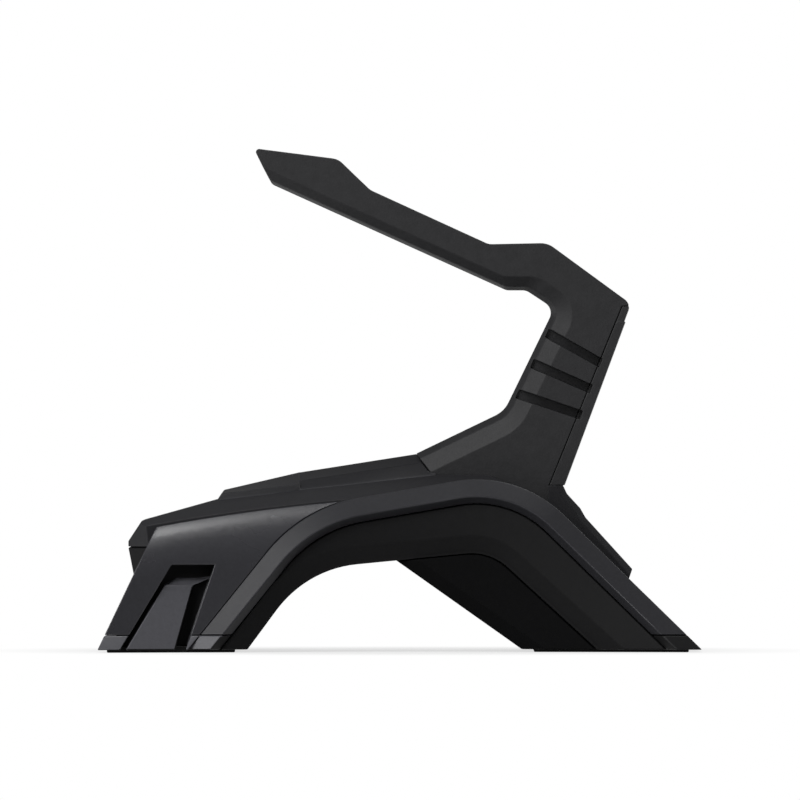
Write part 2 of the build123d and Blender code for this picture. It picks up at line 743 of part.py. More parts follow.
def rear_cover():
    """Raised cover over the foot of the mast and the top of the rear slope."""
    points = [
        (MAST_FOOT_X, MAST_FOOT_Z),
        (REAR_COVER_TOP_X, REAR_COVER_TOP_Z),
        (REAR_COVER_STEP_X, REAR_COVER_STEP_Z),
        (REAR_COVER_KNEE_X, REAR_COVER_KNEE_Z),
        (REAR_COVER_END_X, REAR_COVER_END_Z),
        (REAR_COVER_LIP_X, FOOT_Z),
        (ROOT_REAR_X, FOOT_Z),
        (ROOT_REAR_X, MAST_FOOT_Z),
    ]
    shell = through(outline(points)) & block(0, REACH, -REAR_COVER_HALF, REAR_COVER_HALF, 0, SKY)
    flanks = shell.faces().filter_by(Axis.Y)
    back = [edge for edge in flanks.edges() if (edge @ 0.5).X > MAST_FOOT_X and (edge @ 0.5).Z > CHIN_Z]
    shell = chamfer(back, REAR_COVER_BEVEL)
    shell -= through(arch(FLARE_WIDTH + COVER_GAP))
    return shell - arm_form(SEAM) - spine_space(-SEAM)


def bottom_cover():
    """Belly plate, ramp with bevelled sides and floor of the rear block, in one moulding."""
    behind_ramp = [(RAMP_TOP_X, BELLY_Z), (RAMP_FOOT_X, FOOT_Z), (REACH, FOOT_Z), (REACH, BELLY_Z)]
    tub = within(through(outline(behind_ramp)) & through(arch_opening(-SEAM)), -TUB_INSET).solid()
    ramp = min(tub.faces().filter_by(GeomType.PLANE), key=lambda face: face.normal_at().X)
    sides = [edge for edge in ramp.edges() if abs((edge @ 0.5).Y) > LEG_GAP_TOP]
    tub = Part() + tub.chamfer(RAMP_BEVEL, RAMP_BEVEL, sides)
    inside = [(x + RAMP_SLANT, z) for x, z in behind_ramp[:2]] + behind_ramp[2:]
    lip = within(through(outline(inside)) & through(arch_opening(TUB_LIP)), CHASSIS_INNER - FIT)
    tub = tub + lip - within(through(outline(inside)), -TUB_INSET - TUB_WALL)
    ramp_plate = through(outline(behind_ramp[:2] + inside[1::-1]))
    floor = band(RAMP_FOOT_X, FLOOR_REAR_X, FOOT_Z, FLOOR_TOP)
    half = LEG_GAP_TOP - FIT
    belly = block(BELLY_FRONT_X + FIT, RAMP_TOP_X + RAMP_SLANT, -half, half, BELLY_Z, BELLY_TOP)
    cover = tub + within(ramp_plate + floor + belly, CHASSIS_INNER - FIT)
    for places in (DECK_FRONT_SCREWS, DECK_REAR_SCREWS, BALLAST_SCREWS):
        cover -= rods(places, 0, SKY, SCREW_R + SCREW_PLAY)
    for places in (DECK_REAR_SCREWS, BALLAST_SCREWS):
        cover -= rods(places, 0, REAR_SEAT_Z, SCREW_HEAD_R + FIT)
    pad = rear_pad(FIT)
    return cover - pad - other_side(pad)


def front_pad(grow):
    """Rubber pad under the left front foot."""
    inner = LEG_GAP_FLOOR + PAD_MARGIN - grow
    pad = block(PAD_FRONT_X - grow, PAD_FRONT_X + PAD_FRONT_LENGTH + grow, -REACH, -inner, 0, PAD_THICK)
    return pad - beyond_flank(grow - PAD_MARGIN)


def rear_pad(grow):
    """Rubber pad under the left side of the rear block."""
    inner = PAD_REAR_INNER - grow
    pad = block(PAD_REAR_X - grow, PAD_REAR_X + PAD_REAR_LENGTH + grow, -REACH, -inner, 0, PAD_THICK)
    return pad - beyond_flank(grow - PAD_REAR_MARGIN)


def rib():
    """Rib in the recess of the left leg, which leans out towards the foot."""
    side_view = outline([
        (RIB_FOOT_FRONT_X, FOOT_Z),
        (RIB_FOOT_REAR_X, FOOT_Z),
        (RIB_NECK_REAR_X, RIB_NECK_Z),
        (RIB_TOP_REAR_X, RIB_TOP_Z),
        (RIB_TOP_FRONT_X, RIB_TOP_Z),
        (RIB_NECK_FRONT_X, RIB_NECK_Z),
    ])
    bar = extrude(side_view, amount=REACH, dir=(0, -1, 0))
    bar = (bar & beyond_flank(RECESS_FLOOR - SKIN)) - beyond_flank(RIB_PROUD, RIB_LEAN)
    rise = RIB_NECK_Z - FOOT_Z
    top_offset = RIB_PROUD + lean_shift(rise, RIB_TOP_LEAN) - lean_shift(rise, RIB_LEAN)
    return bar - beyond_flank(top_offset, RIB_TOP_LEAN)


def arch_wall():
    """Visible wall of the left arch between the trim and the opening, bevelled below."""
    opening = arch_opening()
    wall = through(arch(-LIP_WIDTH - SEAM)) - through(opening)
    wall = left_layer(wall, -WALL_INSET, -SKIN - FIT - CHASSIS_WALL / 2).solid()
    face = outer_flank(wall)
    return Part() + wall.chamfer(WALL_BEVEL_WIDTH, WALL_BEVEL_DEPTH, border_edges(face, opening), face)


def chassis():
    """Lower moulding: front legs with feet and ribs, arch walls, chin and the rear block."""
    core = through(arch(FLARE_WIDTH - ROOF_WALL))
    core += roof(-PANEL_FLANGE - FIT) & leg_front(PANEL_EDGE + FIT)
    body = within(core - through(arch_opening()), CHASSIS_OUTER)
    chin = through(outline([
        (NOSE_X, NOSE_SLIT_Z),
        (CHIN_X, CHIN_Z),
        (CHIN_FOOT_X, LEG_GAP_Z),
        (BELLY_FRONT_X, LEG_GAP_Z),
        (BELLY_FRONT_X, NOSE_SLIT_Z),
    ]))
    body += within(chin, DECK_EDGE) - nose_corners()
    toe = (leg_front(0.0) & band(-REACH, SHOULDER_X, FOOT_Z, SPLIT_Z)) - through(arch(FLARE_WIDTH))
    heel = through(arch(FLARE_WIDTH)) & band(HEEL_X, REACH, FOOT_Z, SPLIT_Z)
    foot_rise = SPLIT_Z - FOOT_Z
    flare = beyond_flank(lean_shift(foot_rise, FOOT_LEAN) - lean_shift(foot_rise, FLANK_LEAN), FOOT_LEAN)
    body += (toe - flare - other_side(flare)) + within(heel, -SKIN / 2)
    foot_trim = whole_trim() & below(SPLIT_Z)
    wall = arch_wall()
    body += foot_trim + other_side(foot_trim) + wall + other_side(wall)
    gap = Polyline(
        (0, -LEG_GAP_FLOOR, FOOT_Z - FIT),
        (0, LEG_GAP_FLOOR, FOOT_Z - FIT),
        (0, LEG_GAP_TOP, LEG_GAP_Z),
        (0, -LEG_GAP_TOP, LEG_GAP_Z),
        close=True,
    )
    body -= extrude(Face(Wire(gap.edges())), amount=REACH, dir=(-1, 0, 0))
    body -= block(BELLY_FRONT_X, 0, -LEG_GAP_TOP, LEG_GAP_TOP, LEG_GAP_Z, BELLY_TOP + FIT)
    body -= within(band(BELLY_FRONT_X, REAR_BAR_X, BELLY_TOP + FIT, SKY), CHASSIS_INNER)
    body -= within(band(0, REAR_BAR_X, 0, SKY), CHASSIS_INNER)
    body -= within(band(0, FLOOR_REAR_X + FIT, 0, FLOOR_TOP + FIT), CHASSIS_INNER)
    hollow = recess() & beyond_flank(RECESS_FLOOR)
    body -= hollow + other_side(hollow)
    bar = rib()
    body += bar + other_side(bar)
    pad = front_pad(FIT)
    return body - pad - other_side(pad)


def ballast_block():
    """Steel weight that rests on the floor of the rear block."""
    high = FLOOR_TOP + BALLAST_HEIGHT
    weight = block(BALLAST_FRONT_X, BALLAST_REAR_X, -BALLAST_HALF, BALLAST_HALF, FLOOR_TOP, high)
    weight = chamfer(weight.edges().filter_by(Axis.Z), BALLAST_EDGE)
    hole_top = REAR_SEAT_Z + BALLAST_SCREW_LENGTH + SCREW_PLAY
    return weight - rods(BALLAST_SCREWS, 0, hole_top, SCREW_R + SCREW_PLAY)


def build():
    """All pieces by name, each as a list of solids."""
    arm, spine = arm_and_spine()
    trim = whole_trim() & above(SPLIT_Z + SEAM)
    panel = side_panel()
    left_front_pad = front_pad(0.0)
    left_rear_pad = rear_pad(0.0)
    pieces = {
        "chassis": chassis(),
        "top_deck": top_deck(),
        "top_cover": top_cover(),
        "left_side_panel": panel,
        "right_side_panel": other_side(panel),
        "left_arch_trim": trim,
        "right_arch_trim": other_side(trim),
        "bottom_cover": bottom_cover(),
        "arm": arm,
        "arm_spine": spine,
        "rear_cover": rear_cover(),
        "front_left_pad": left_front_pad,
        "front_right_pad": other_side(left_front_pad),
        "rear_left_pad": left_rear_pad,
        "rear_right_pad": other_side(left_rear_pad),
        "ballast_block": ballast_block(),
    }
    groups = {name: piece.solids() for name, piece in pieces.items()}
    groups["arm_screws"] = screws(ARM_SCREWS, FLANGE_SEAT_Z, ARM_SCREW_LENGTH)
    groups["ballast_screws"] = screws(BALLAST_SCREWS, REAR_SEAT_Z, BALLAST_SCREW_LENGTH)
    groups["deck_screws"] = screws(DECK_FRONT_SCREWS, BELLY_Z, DECK_SCREW_LENGTH)
    groups["deck_screws"] += screws(DECK_REAR_SCREWS, REAR_SEAT_Z, DECK_SCREW_LENGTH)
    return groups


os.makedirs("parts", exist_ok=True)
for name, solids in build().items():
    export_step(Compound(children=solids), f"parts/{name}.step")
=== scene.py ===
"""Finished pieces, materials and studio for a mouse bungee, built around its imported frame."""

import math

import bmesh
import bpy
from bpy.props import FloatProperty, FloatVectorProperty, PointerProperty
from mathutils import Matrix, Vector
from mathutils.bvhtree import BVHTree


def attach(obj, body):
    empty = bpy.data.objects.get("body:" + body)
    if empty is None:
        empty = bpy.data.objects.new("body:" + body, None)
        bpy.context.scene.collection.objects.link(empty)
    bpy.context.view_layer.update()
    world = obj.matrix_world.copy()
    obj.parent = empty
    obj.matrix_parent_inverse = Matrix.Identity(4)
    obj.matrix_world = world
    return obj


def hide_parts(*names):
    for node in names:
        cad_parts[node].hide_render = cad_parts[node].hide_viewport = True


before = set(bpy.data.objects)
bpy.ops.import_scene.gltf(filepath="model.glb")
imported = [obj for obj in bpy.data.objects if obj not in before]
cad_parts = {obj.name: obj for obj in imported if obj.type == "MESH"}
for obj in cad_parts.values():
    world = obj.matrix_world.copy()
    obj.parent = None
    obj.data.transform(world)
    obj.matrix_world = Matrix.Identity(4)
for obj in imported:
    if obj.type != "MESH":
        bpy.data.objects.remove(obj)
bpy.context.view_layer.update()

bl_info = {
    "name": "Mouse bungee",
    "version": (1, 0, 0),
    "blender": (4, 5, 0),
    "location": "View3D > Sidebar > Bungee",
    "description": "Builds the finished pieces, materials and studio of a mouse bungee around its frame",
    "category": "Add Mesh",
}

BODY = "root"

# Cleaning and rounding of the copied meshes
MERGE_DISTANCE = 2e-6
FLAT_ANGLE = math.radians(0.4)
SHARP_ANGLE = math.radians(22)
CREASE_ANGLE = math.radians(50)
ROUND_SEGMENTS = 3
STRAY_SHARE = 0.6
SEAT_REACH = 1e-4

# Turned screws and their hexagon sockets
SPIN_STEPS = 36
HEXAGON_SECTOR = math.tau / 6

# Leg fronts on the chassis that face upward get a lighter copy of its plastic as painted light: they end at
# the line of the arch and at the chin of the nose
ARCH_FOOT_X = -0.0452
ARCH_LEAN = 0.804
CHIN_LOW = 0.0145
CHIN_REAR = -0.059
LEG_PAINTED_LIGHT_TILT = 0.25

# Shared effects: finer pits and broader tones than the grain's cells, patchy edges and wipe streaks
PIT_FINENESS = 1.7
TONE_FINENESS = 0.22
CELL_SMOOTHNESS = 0.6
EDGE_LEAST = 0.4
EDGE_PATCHES = 420.0
STREAK_TURN = (0.3, 0.5, 0.2)
STREAK_SCALE = (40.0, 900.0, 900.0)

# Wear of the plastics: edges are lighter and smoother, and smudges spread the roughness
EDGE_REACH = 0.0006
EDGE_LIGHTER = 1.9
EDGE_SMOOTHER = 0.12
SMUDGE_STREAKS = 0.06
SMUDGE_SPREAD = 0.035

# Wear of the plated steel
STEEL_SMUDGE = 0.004
STEEL_STREAKS = 0.8
STEEL_DRIFT = 0.2
STEEL_ROUGHNESS = (0.28, 0.46)
STEEL_EDGE_REACH = 0.0003
STEEL_EDGE_LIGHTER = 1.8

# Moulded finishes: colour, grain, depth of the grain, roughness, gloss and tonal drift
FINISHES = {
    "Satin panel plastic": ("panel", "shell_grain", 0.000006, 0.27, 0.57, 0.18),
    "Satin trim plastic": ("trim", "shell_grain", 0.000006, 0.36, 0.16, 0.18),
    "Dull deck plastic": ("deck", "shell_grain", 0.000008, 0.38, 0.09, 0.18),
    # Leg finish: a lighter copy of the chassis plastic, as painted light on the upward-facing leg fronts
    "Grey leg plastic": ("leg", "shell_grain", 0.000006, 0.36, 0.22, 0.18),
    # Base finish: the chassis' own black, made darker as painted shade for the arch walls under the trims
    "Fine textured base plastic": ("base", "base_grain", 0.00001, 0.48, 0.07, 0.18),
    # Ramp finish: black plastic made darker still, as painted shade on the underside of the bottom cover
    "Dull ramp plastic": ("ramp", "base_grain", 0.00001, 0.50, 0.012, 0.18),
    "Grained arm plastic": ("arm", "arm_grain", 0.00003, 0.50, 0.18, 0.3),
    "Pad rubber": ("pad", "pad_grain", 0.00003, 0.78, 0.2, 0.18),
}

# Sockets of a Mix node that mixes colours
MIX_FIRST = 6
MIX_SECOND = 7
MIX_RESULT = 2

# Camera: the photograph's square frame, level with the middle of the picture
FRAME_WIDTH = 0.2
EYE_HEIGHT = 0.0627
CAMERA_LENS = 1000.0
CAMERA_REACH = 100.0
SENSOR = 36.0

# Stage: a round floor that keeps the shadow near the object, a low backdrop around it and a dim sky
STAGE_RADIUS = 8.0
STAGE_SEGMENTS = 96
BACKDROP_HEIGHT = 0.5
FLOOR_WHITE = 0.68
FADE_START = 0.05
FADE_END = 0.12
AMBIENT = 0.16

# Square soft lamps that face the object: place, side length and power
LAMP_TARGET = (0.0, 0.0, 0.05)
LAMPS = {
    "key": ((-0.5, -0.8, 0.6), 0.5, 6.8),
    "brow": ((-0.36, -0.56, 0.87), 0.35, 3.4),
    "shoulder": ((0.27, 0.02, 1.04), 0.22, 5.0),
    "side": ((-0.92, -0.45, 0.28), 0.4, 2.6),
    "rear": ((0.8, 0.65, 0.6), 0.5, 3.0),
}


def size_property(name, description, default):
    """Length property in metres."""
    return FloatProperty(name=name, description=description, default=default, min=0.0,
                         precision=6, subtype="DISTANCE", unit="LENGTH")


def colour_property(name, description, default):
    """Colour property in linear values."""
    return FloatVectorProperty(name=name, description=description, default=default,
                               size=3, min=0.0, max=1.0, subtype="COLOR")


class BungeeSizes(bpy.types.PropertyGroup):
    """Radii and grain sizes of the finished pieces."""
    shell_round: size_property("Shell edge", "Radius on the edges of the satin shell pieces", 0.0002)
    base_round: size_property("Base edge", "Radius on the edges of the chassis and the bottom cover", 0.0003)
    arm_round: size_property("Arm edge", "Radius on the edges of the arm", 0.00025)
    pad_round: size_property("Pad edge", "Radius on the edges of the rubber pads", 0.0003)
    metal_round: size_property("Metal edge", "Radius on the edges of the screw heads and the weight", 0.0003)
    head_radius: size_property("Screw head", "Radius of the screw heads", 0.0027)
    head_height: size_property("Head height", "Height of the screw heads", 0.0016)
    socket: size_property("Socket", "Half the width of the hexagon in the screw heads", 0.00125)
    socket_depth: size_property("Socket depth", "Depth of the hexagon in the screw heads", 0.001)
    thread_radius: size_property("Thread", "Outer radius of the screw threads", 0.0015)
    thread_depth: size_property("Thread depth", "Depth of the screw threads", 0.0002)
    thread_pitch: size_property("Thread pitch", "Distance between the ridges of the screw threads", 0.0008)
    shell_grain: size_property("Shell grain", "Cell size of the fine texture on the shell", 0.00022)
    base_grain: size_property("Base grain", "Cell size of the texture on the chassis", 0.00035)
    arm_grain: size_property("Arm grain", "Cell size of the leathery texture on the arm", 0.0005)
    pad_grain: size_property("Pad grain", "Cell size of the texture on the rubber", 0.0006)


class BungeeColours(bpy.types.PropertyGroup):
    """Colours of the finished pieces and of the floor."""
    panel: colour_property("Panel", "Satin plastic of the side panels", (0.0215, 0.0215, 0.0250))
    trim: colour_property("Trim", "Satin plastic of the arch trims", (0.0170, 0.0170, 0.0194))
    deck: colour_property("Deck", "Dull plastic of the deck and its covers", (0.0165, 0.0165, 0.0180))
    # Leg colour: painted light, lighter than the base colour of the same chassis moulding
    leg: colour_property("Leg", "Chassis plastic of the ribs and front feet, lighter as painted light", (0.0600, 0.0600, 0.0670))
    # Base colour: partly the chassis' own black, partly painted shade of the arch walls under the trims
    base: colour_property("Base", "Dull black plastic of the chassis", (0.0065, 0.0065, 0.0068))
    # Ramp colour: partly the cover's own black, partly painted shade on its underside
    ramp: colour_property("Ramp", "Dull black plastic of the bottom cover", (0.0042, 0.0042, 0.0044))
    arm: colour_property("Arm", "Grained plastic of the arm", (0.0180, 0.0180, 0.0191))
    pad: colour_property("Pad", "Rubber of the pads", (0.0060, 0.0060, 0.0062))
    steel: colour_property("Steel", "Plated steel of screws and weight", (0.30, 0.30, 0.31))
    floor: colour_property("Floor", "Pale floor", (0.45, 0.45, 0.45))


def new_group(name, inputs, outputs):
    """Empty shader node group with named sockets, and its two end nodes."""
    group = bpy.data.node_groups.new(name, "ShaderNodeTree")
    for label, default in inputs:
        socket = group.interface.new_socket(label, in_out="INPUT", socket_type="NodeSocketFloat")
        socket.default_value = default
    for label in outputs:
        group.interface.new_socket(label, in_out="OUTPUT", socket_type="NodeSocketFloat")
    return group, group.nodes.new("NodeGroupInput"), group.nodes.new("NodeGroupOutput")


def feed(tree, socket, value):
    """Links a socket to another one, or sets it to a plain number or colour."""
    if isinstance(value, bpy.types.NodeSocket):
        tree.links.new(value, socket)
    else:
        socket.default_value = (*value, 1.0) if socket.type == "RGBA" else value


def add_math(tree, operation, first, second, clamp=False):
    """Math node on sockets or plain numbers."""
    node = tree.nodes.new("ShaderNodeMath")
    node.operation = operation
    node.use_clamp = clamp
    feed(tree, node.inputs[0], first)
    feed(tree, node.inputs[1], second)
    return node.outputs["Value"]


def add_mix(tree, factor, first, second):
    """Colour mixed from two colours or sockets by a factor."""
    node = tree.nodes.new("ShaderNodeMix")
    node.data_type = "RGBA"
    feed(tree, node.inputs["Factor"], factor)
    feed(tree, node.inputs[MIX_FIRST], first)
    feed(tree, node.inputs[MIX_SECOND], second)
    return node.outputs[MIX_RESULT]


def add_ramp(tree, factor, low, high):
    """Value that runs from low to high with a factor."""
    node = tree.nodes.new("ShaderNodeMapRange")
    feed(tree, node.inputs["Value"], factor)
    node.inputs["To Min"].default_value = low
    node.inputs["To Max"].default_value = high
    return node.outputs["Result"]


def object_place(tree):
    """Place on the piece, which patterns are read from."""
    return tree.nodes.new("ShaderNodeTexCoord").outputs["Object"]


def add_noise(tree, place, scale, detail, roughness=0.5):
    """Noise pattern at a place, with a scale that is a socket or a number."""
    node = tree.nodes.new("ShaderNodeTexNoise")
    feed(tree, node.inputs["Vector"], place)
    feed(tree, node.inputs["Scale"], scale)
    node.inputs["Detail"].default_value = detail
    node.inputs["Roughness"].default_value = roughness
    return node.outputs["Fac"]


def grain_group():
    """Moulded grain: rounded cells with finer pits between them."""
    group, start, end = new_group("Moulded grain", [("Cell", 0.0004), ("Pits", 0.4)], ["Height", "Tone"])
    place = object_place(group)
    scale = add_math(group, "DIVIDE", 1.0, start.outputs["Cell"])
    cells = group.nodes.new("ShaderNodeTexVoronoi")
    cells.feature = "SMOOTH_F1"
    cells.inputs["Smoothness"].default_value = CELL_SMOOTHNESS
    feed(group, cells.inputs["Vector"], place)
    feed(group, cells.inputs["Scale"], scale)
    dome = add_math(group, "SUBTRACT", 1.0, cells.outputs["Distance"], clamp=True)
    pits = add_noise(group, place, add_math(group, "MULTIPLY", scale, PIT_FINENESS), detail=3.0)
    pits = add_math(group, "MULTIPLY", pits, start.outputs["Pits"])
    feed(group, end.inputs["Height"], add_math(group, "ADD", dome, pits))
    broad = add_math(group, "MULTIPLY", scale, TONE_FINENESS)
    feed(group, end.inputs["Tone"], add_noise(group, place, broad, detail=4.0, roughness=0.6))
    return group


def edge_group():
    """Edge polish: a mask on edges, where handling rubs the texture smooth."""
    group, start, end = new_group("Edge polish", [("Reach", EDGE_REACH), ("Amount", 2.0)], ["Mask"])
    rounded = group.nodes.new("ShaderNodeBevel")
    rounded.samples = 6
    feed(group, rounded.inputs["Radius"], start.outputs["Reach"])
    dot = group.nodes.new("ShaderNodeVectorMath")
    dot.operation = "DOT_PRODUCT"
    feed(group, dot.inputs[0], rounded.outputs["Normal"])
    feed(group, dot.inputs[1], group.nodes.new("ShaderNodeNewGeometry").outputs["Normal"])
    turned = add_math(group, "SUBTRACT", 1.0, dot.outputs["Value"], clamp=True)
    patches = add_noise(group, object_place(group), EDGE_PATCHES, detail=3.0)
    turned = add_math(group, "MULTIPLY", turned, add_math(group, "ADD", EDGE_LEAST, patches))
    mask = add_math(group, "MULTIPLY", turned, start.outputs["Amount"], clamp=True)
    feed(group, end.inputs["Mask"], mask)
    return group


def smudge_group():
    """Smudges: broad soft clouds with faint wipe streaks, as on handled plastic."""
    group, start, end = new_group("Smudges", [("Size", 0.02), ("Streaks", 0.25)], ["Value"])
    place = object_place(group)
    scale = add_math(group, "DIVIDE", 1.0, start.outputs["Size"])
    clouds = add_noise(group, place, scale, detail=4.0, roughness=0.55)
    mapping = group.nodes.new("ShaderNodeMapping")
    mapping.inputs["Rotation"].default_value = STREAK_TURN
    mapping.inputs["Scale"].default_value = STREAK_SCALE
    feed(group, mapping.inputs["Vector"], place)
    streaks = add_noise(group, mapping.outputs["Vector"], 1.0, detail=2.0)
    streaks = add_math(group, "SUBTRACT", streaks, 0.5)
    faint = add_math(group, "MULTIPLY", streaks, start.outputs["Streaks"])
    feed(group, end.inputs["Value"], add_math(group, "ADD", clouds, faint, clamp=True))
    return group


def place_group(tree, name, **values):
    """Shared effect placed in a material with its own values, and built the first time it is used."""
    makers = {"Moulded grain": grain_group, "Edge polish": edge_group, "Smudges": smudge_group}
    node = tree.nodes.new("ShaderNodeGroup")
    node.node_tree = bpy.data.node_groups.get(name) or makers[name]()
    for label, value in values.items():
        node.inputs[label].default_value = value
    return node


def scaled(colour, factor):
    """Colour made lighter or darker."""
    return tuple(min(1.0, channel * factor) for channel in colour)


def new_material(name, colour):
    """Material with an empty tree, its shader and the colour that plain viewports show."""
    material = bpy.data.materials.new(name)
    material.use_nodes = True
    material.diffuse_color = (*colour, 1.0)
    tree = material.node_tree
    tree.nodes.clear()
    output = tree.nodes.new("ShaderNodeOutputMaterial")
    shader = tree.nodes.new("ShaderNodeBsdfPrincipled")
    tree.links.new(shader.outputs["BSDF"], output.inputs["Surface"])
    return material, tree, shader


def moulded(name):
    """Moulded plastic or rubber: grain, tonal drift, smudged roughness and polished edges."""
    if name in bpy.data.materials:
        return bpy.data.materials[name]
    scene = bpy.context.scene
    colour_name, grain_name, depth, roughness, gloss, drift = FINISHES[name]
    colour = tuple(getattr(scene.bungee_colours, colour_name))
    material, tree, shader = new_material(name, colour)
    grain = place_group(tree, "Moulded grain", Cell=getattr(scene.bungee_sizes, grain_name))
    polish = place_group(tree, "Edge polish", Reach=EDGE_REACH)
    smudges = place_group(tree, "Smudges", Streaks=SMUDGE_STREAKS)
    tones = add_mix(tree, grain.outputs["Tone"], scaled(colour, 1.0 - drift), scaled(colour, 1.0 + drift))
    tones = add_mix(tree, polish.outputs["Mask"], tones, scaled(colour, EDGE_LIGHTER))
    feed(tree, shader.inputs["Base Color"], tones)
    rough = add_ramp(tree, smudges.outputs["Value"], roughness - SMUDGE_SPREAD, roughness + SMUDGE_SPREAD)
    worn = add_math(tree, "MULTIPLY", polish.outputs["Mask"], EDGE_SMOOTHER)
    feed(tree, shader.inputs["Roughness"], add_math(tree, "SUBTRACT", rough, worn, clamp=True))
    bump = tree.nodes.new("ShaderNodeBump")
    bump.inputs["Strength"].default_value = 1.0
    bump.inputs["Distance"].default_value = depth
    feed(tree, bump.inputs["Height"], grain.outputs["Height"])
    feed(tree, shader.inputs["Normal"], bump.outputs["Normal"])
    shader.inputs["Specular IOR Level"].default_value = gloss
    return material


def plated_steel():
    """Plated steel with turning marks, for screws and the weight."""
    name = "Plated steel"
    if name in bpy.data.materials:
        return bpy.data.materials[name]
    colour = tuple(bpy.context.scene.bungee_colours.steel)
    material, tree, shader = new_material(name, colour)
    smudges = place_group(tree, "Smudges", Size=STEEL_SMUDGE, Streaks=STEEL_STREAKS)
    polish = place_group(tree, "Edge polish", Reach=STEEL_EDGE_REACH)
    darker, lighter = scaled(colour, 1.0 - STEEL_DRIFT), scaled(colour, 1.0 + STEEL_DRIFT)
    tones = add_mix(tree, smudges.outputs["Value"], darker, lighter)
    tones = add_mix(tree, polish.outputs["Mask"], tones, scaled(colour, STEEL_EDGE_LIGHTER))
    feed(tree, shader.inputs["Base Color"], tones)
    feed(tree, shader.inputs["Roughness"], add_ramp(tree, smudges.outputs["Value"], *STEEL_ROUGHNESS))
    shader.inputs["Metallic"].default_value = 1.0
    return material


def finish_mesh(form, name, *materials):
    """Object at the origin from a bmesh, smooth between its creases."""
    mesh = bpy.data.meshes.new(name)
    form.to_mesh(mesh)
    form.free()
    custom = mesh.attributes.get("custom_normal")
    if custom:
        mesh.attributes.remove(custom)
    for material in materials:
        mesh.materials.append(material)
    mesh.shade_smooth()
    mesh.set_sharp_from_angle(angle=CREASE_ANGLE)
    piece = bpy.data.objects.new(name, mesh)
    bpy.context.scene.collection.objects.link(piece)
    weighted = piece.modifiers.new("Even shading", "WEIGHTED_NORMAL")
    weighted.keep_sharp = True
    return piece


def node_form(node):
    """Merged mesh of a frame node."""
    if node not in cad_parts:
        raise RuntimeError(f"the frame has no node named {node}")
    form = bmesh.new()
    form.from_mesh(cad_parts[node].data)
    bmesh.ops.remove_doubles(form, verts=form.verts, dist=MERGE_DISTANCE)
    return form


def off_seat(edges, seat):
    """Edges that don't lie on the surface of a seat node."""
    ground = node_form(seat)
    surface = BVHTree.FromBMesh(ground)
    ground.free()
    free = []
    for edge in edges:
        start, end = (vertex.co for vertex in edge.verts)
        places = (start, end, (start + end) / 2)
        if max(surface.find_nearest(place)[3] for place in places) > SEAT_REACH:
            free.append(edge)
    return free


def stand_for(piece, node):
    """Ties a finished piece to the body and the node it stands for."""
    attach(piece, BODY)
    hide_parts(node)


def on_leg_front(face):
    """Whether a face of the chassis is the upward-leaning front of a rib or a front foot, which gets painted
    light.
    """
    place = face.calc_center_median()
    before_arch = place.x < ARCH_FOOT_X + place.z * ARCH_LEAN
    on_chin = place.z > CHIN_LOW and place.x < CHIN_REAR
    return before_arch and not on_chin and face.normal.z > LEG_PAINTED_LIGHT_TILT


def rounded_copy(node, name, radius, material, seat=None, leg_painted_light=None):
    """Copy of a frame node with rounded edges, except on its seat. Leg fronts can have a lighter copy of the
    finish as painted light.
    """
    form = node_form(node)
    surface = BVHTree.FromBMesh(form)
    bmesh.ops.dissolve_limit(form, angle_limit=FLAT_ANGLE, verts=form.verts, edges=form.edges)
    sharp = [edge for edge in form.edges if edge.calc_face_angle(0.0) > SHARP_ANGLE]
    if seat:
        sharp = off_seat(sharp, seat)
    bmesh.ops.bevel(form, geom=sharp, offset=radius, offset_type="OFFSET", segments=ROUND_SEGMENTS,
                    profile=0.5, affect="EDGES", material=-1, clamp_overlap=False)
    for vertex in form.verts:
        nearest, normal, index, distance = surface.find_nearest(vertex.co)
        if distance > STRAY_SHARE * radius:
            vertex.co = nearest
    bmesh.ops.dissolve_degenerate(form, dist=MERGE_DISTANCE, edges=form.edges)
    form.normal_update()
    # Upward-facing leg fronts take the second, lighter material as painted light
    for face in form.faces:
        face.material_index = int(bool(leg_painted_light) and on_leg_front(face))
    finishes = [material, leg_painted_light] if leg_painted_light else [material]
    stand_for(finish_mesh(form, name, *finishes), node)


def loose_parts(form):
    """Separate solids of a mesh, each as a list of corner places."""
    waiting = set(form.verts)
    parts = []
    while waiting:
        front = [waiting.pop()]
        part = []
        while front:
            vertex = front.pop()
            part.append(vertex.co.copy())
            near = {edge.other_vert(vertex) for edge in vertex.link_edges} & waiting
            waiting -= near
            front.extend(near)
        parts.append(part)
    return parts


def screw_profile(low, high):
    """Half section of a socket screw, as radii and heights from the socket's floor to the tip."""
    sizes = bpy.context.scene.bungee_sizes
    edge = sizes.metal_round
    floor = low + sizes.socket_depth
    seat = low + sizes.head_height
    points = [(0.0, floor), (sizes.socket, floor)]
    points += [(sizes.socket, low + edge / 2), (sizes.socket + edge / 2, low)]
    for step in range(ROUND_SEGMENTS + 1):
        turn = math.pi / 2 * step / ROUND_SEGMENTS
        radius = sizes.head_radius - edge + edge * math.sin(turn)
        points.append((radius, low + edge - edge * math.cos(turn)))
    points += [(sizes.head_radius, seat), (sizes.thread_radius, seat)]
    for ridge in range(1, int((high - seat) / sizes.thread_pitch)):
        height = seat + ridge * sizes.thread_pitch
        points.append((sizes.thread_radius - sizes.thread_depth, height - sizes.thread_pitch / 2))
        points.append((sizes.thread_radius, height))
    return points + [(sizes.thread_radius / 2, high), (0.0, high)]


